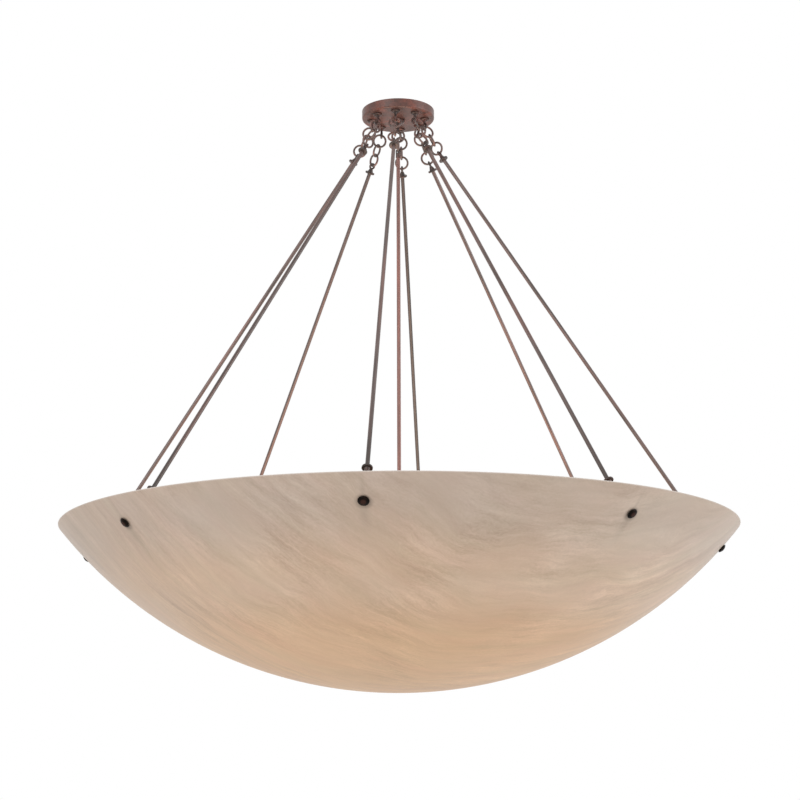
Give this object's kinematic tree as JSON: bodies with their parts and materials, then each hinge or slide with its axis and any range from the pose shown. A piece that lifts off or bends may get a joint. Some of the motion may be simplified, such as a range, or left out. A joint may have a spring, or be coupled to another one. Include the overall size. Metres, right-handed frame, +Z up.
{
  "type": "pendant light",
  "caption": "Wide shallow bowl pendant light hung from a round ceiling canopy by slanted rods on ring chains, with a lamp cluster on a centre stem.",
  "frame": {"origin": "centre of the ceiling plane, midway between the crossbar's two screw slots", "axes": "+Z up to the ceiling, the front leg lies towards -Y, the crossbar runs along X"},
  "size_m": [1.3698, 1.3698, 1.2313],
  "materials": {
    "canopy_bronze": "satin",
    "rod_bronze": "satin",
    "knob_dark_bronze": "satin",
    "zinc_steel": "plated",
    "eye_bolt_bronze": "satin",
    "washer_rubber": "matt",
    "bowl_acrylic": "marbled, translucent",
    "cluster_paint": "white, satin",
    "lampholder_ceramic": "matt",
    "lamp_opal": "opal"
  },
  "bodies": {
    "canopy": {"ceiling_crossbar": "zinc_steel", "hanging_nipple": "zinc_steel", "nipple_nut": "zinc_steel", "load_plate": "zinc_steel", "canopy_pan": "canopy_bronze", "canopy_eyes": "canopy_bronze", "canopy_eye_nuts": "zinc_steel", "centre_eye": "canopy_bronze"},
    "bowl": {"bowl": "bowl_acrylic", "bowl_eye_bolts": "eye_bolt_bronze", "bowl_bolt_nuts": "zinc_steel", "bowl_inner_washers": "washer_rubber", "bowl_outer_washers": "washer_rubber"},
    "centre_chain": {"centre_rings": "rod_bronze"},
    "lamp_stem": {"stem_end": "rod_bronze", "stem_tube": "rod_bronze", "cluster_hub": "cluster_paint", "cluster_cover": "cluster_paint", "cluster_finial": "cluster_paint", "lampholders": "lampholder_ceramic", "lampholder_nuts": "zinc_steel"},
    "front_leg": {"front_chain": "rod_bronze", "front_rod_ends": "rod_bronze", "front_rod": "rod_bronze"},
    "front_right_leg": {"front_right_chain": "rod_bronze", "front_right_rod_ends": "rod_bronze", "front_right_rod": "rod_bronze"},
    "right_leg": {"right_chain": "rod_bronze", "right_rod_ends": "rod_bronze", "right_rod": "rod_bronze"},
    "back_right_leg": {"back_right_chain": "rod_bronze", "back_right_rod_ends": "rod_bronze", "back_right_rod": "rod_bronze"},
    "back_leg": {"back_chain": "rod_bronze", "back_rod_ends": "rod_bronze", "back_rod": "rod_bronze"},
    "back_left_leg": {"back_left_chain": "rod_bronze", "back_left_rod_ends": "rod_bronze", "back_left_rod": "rod_bronze"},
    "left_leg": {"left_chain": "rod_bronze", "left_rod_ends": "rod_bronze", "left_rod": "rod_bronze"},
    "front_left_leg": {"front_left_chain": "rod_bronze", "front_left_rod_ends": "rod_bronze", "front_left_rod": "rod_bronze"},
    "front_knob": {"front_knob": "knob_dark_bronze"},
    "front_right_knob": {"front_right_knob": "knob_dark_bronze"},
    "right_knob": {"right_knob": "knob_dark_bronze"},
    "back_right_knob": {"back_right_knob": "knob_dark_bronze"},
    "back_knob": {"back_knob": "knob_dark_bronze"},
    "back_left_knob": {"back_left_knob": "knob_dark_bronze"},
    "left_knob": {"left_knob": "knob_dark_bronze"},
    "front_left_knob": {"front_left_knob": "knob_dark_bronze"},
    "lamp_1": {"lamp_1": "lamp_opal"},
    "lamp_2": {"lamp_2": "lamp_opal"},
    "lamp_3": {"lamp_3": "lamp_opal"},
    "lamp_4": {"lamp_4": "lamp_opal"},
    "lamp_5": {"lamp_5": "lamp_opal"},
    "lamp_6": {"lamp_6": "lamp_opal"}
  },
  "joints": [
    {"name": "bowl_sway", "type": "hinge", "parent": "canopy", "child": "bowl", "pos_m": [0, 0, 0.05307], "axis": [0, 1, 0], "range_deg": [-4, 4]},
    {"name": "front_leg_swing", "type": "hinge", "parent": "canopy", "child": "front_leg", "pos_m": [0, -0.0565, -0.0365], "axis": [0, 1, 0], "range_deg": [-4.5, 4.5]},
    {"name": "front_right_leg_swing", "type": "hinge", "parent": "canopy", "child": "front_right_leg", "pos_m": [0.03995, -0.03995, -0.0365], "axis": [0, 1, 0], "range_deg": [-4.5, 4.5]},
    {"name": "right_leg_swing", "type": "hinge", "parent": "canopy", "child": "right_leg", "pos_m": [0.0565, 0, -0.0365], "axis": [0, 1, 0], "range_deg": [-4.5, 4.5]},
    {"name": "back_right_leg_swing", "type": "hinge", "parent": "canopy", "child": "back_right_leg", "pos_m": [0.03995, 0.03995, -0.0365], "axis": [0, 1, 0], "range_deg": [-4.5, 4.5]},
    {"name": "back_leg_swing", "type": "hinge", "parent": "canopy", "child": "back_leg", "pos_m": [0, 0.0565, -0.0365], "axis": [0, 1, 0], "range_deg": [-4.5, 4.5]},
    {"name": "back_left_leg_swing", "type": "hinge", "parent": "canopy", "child": "back_left_leg", "pos_m": [-0.03995, 0.03995, -0.0365], "axis": [0, 1, 0], "range_deg": [-4.5, 4.5]},
    {"name": "left_leg_swing", "type": "hinge", "parent": "canopy", "child": "left_leg", "pos_m": [-0.0565, 0, -0.0365], "axis": [0, 1, 0], "range_deg": [-4.5, 4.5]},
    {"name": "front_left_leg_swing", "type": "hinge", "parent": "canopy", "child": "front_left_leg", "pos_m": [-0.03995, -0.03995, -0.0365], "axis": [0, 1, 0], "range_deg": [-4.5, 4.5]},
    {"name": "centre_chain_swing", "type": "hinge", "parent": "canopy", "child": "centre_chain", "pos_m": [0, 0, -0.042], "axis": [1, 0, 0], "range_deg": [-4, 4]},
    {"name": "stem_swing", "type": "hinge", "parent": "centre_chain", "child": "lamp_stem", "pos_m": [0, 0, -0.0906], "axis": [0, 1, 0], "range_deg": [-4, 4]},
    {"name": "front_knob_turn", "type": "hinge", "parent": "bowl", "child": "front_knob", "pos_m": [0, -0.64671, -0.9515], "axis": [0, -0.7289, -0.6847], "continuous": true},
    {"name": "front_right_knob_turn", "type": "hinge", "parent": "bowl", "child": "front_right_knob", "pos_m": [0.45729, -0.45729, -0.9515], "axis": [0.5154, -0.5154, -0.6847], "continuous": true},
    {"name": "right_knob_turn", "type": "hinge", "parent": "bowl", "child": "right_knob", "pos_m": [0.64671, 0, -0.9515], "axis": [0.7289, 0, -0.6847], "continuous": true},
    {"name": "back_right_knob_turn", "type": "hinge", "parent": "bowl", "child": "back_right_knob", "pos_m": [0.45729, 0.45729, -0.9515], "axis": [0.5154, 0.5154, -0.6847], "continuous": true},
    {"name": "back_knob_turn", "type": "hinge", "parent": "bowl", "child": "back_knob", "pos_m": [0, 0.64671, -0.9515], "axis": [0, 0.7289, -0.6847], "continuous": true},
    {"name": "back_left_knob_turn", "type": "hinge", "parent": "bowl", "child": "back_left_knob", "pos_m": [-0.45729, 0.45729, -0.9515], "axis": [-0.5154, 0.5154, -0.6847], "continuous": true},
    {"name": "left_knob_turn", "type": "hinge", "parent": "bowl", "child": "left_knob", "pos_m": [-0.64671, 0, -0.9515], "axis": [-0.7289, 0, -0.6847], "continuous": true},
    {"name": "front_left_knob_turn", "type": "hinge", "parent": "bowl", "child": "front_left_knob", "pos_m": [-0.45729, -0.45729, -0.9515], "axis": [-0.5154, -0.5154, -0.6847], "continuous": true},
    {"name": "lamp_1_turn", "type": "hinge", "parent": "lamp_stem", "child": "lamp_1", "pos_m": [0, 0, -0.932], "axis": [1, 0, 0], "continuous": true},
    {"name": "lamp_2_turn", "type": "hinge", "parent": "lamp_stem", "child": "lamp_2", "pos_m": [0, 0, -0.932], "axis": [0.5, 0.866, 0], "continuous": true},
    {"name": "lamp_3_turn", "type": "hinge", "parent": "lamp_stem", "child": "lamp_3", "pos_m": [0, 0, -0.932], "axis": [-0.5, 0.866, 0], "continuous": true},
    {"name": "lamp_4_turn", "type": "hinge", "parent": "lamp_stem", "child": "lamp_4", "pos_m": [0, 0, -0.932], "axis": [-1, 0, 0], "continuous": true},
    {"name": "lamp_5_turn", "type": "hinge", "parent": "lamp_stem", "child": "lamp_5", "pos_m": [0, 0, -0.932], "axis": [-0.5, -0.866, 0], "continuous": true},
    {"name": "lamp_6_turn", "type": "hinge", "parent": "lamp_stem", "child": "lamp_6", "pos_m": [0, 0, -0.932], "axis": [0.5, -0.866, 0], "continuous": true}
  ],
  "couplings": [
    {"joint": "front_leg_swing", "follows": "bowl_sway", "ratio": 1.1012},
    {"joint": "front_right_leg_swing", "follows": "bowl_sway", "ratio": 1.1012},
    {"joint": "right_leg_swing", "follows": "bowl_sway", "ratio": 1.1012},
    {"joint": "back_right_leg_swing", "follows": "bowl_sway", "ratio": 1.1012},
    {"joint": "back_leg_swing", "follows": "bowl_sway", "ratio": 1.1012},
    {"joint": "back_left_leg_swing", "follows": "bowl_sway", "ratio": 1.1012},
    {"joint": "left_leg_swing", "follows": "bowl_sway", "ratio": 1.1012},
    {"joint": "front_left_leg_swing", "follows": "bowl_sway", "ratio": 1.1012}
  ]
}
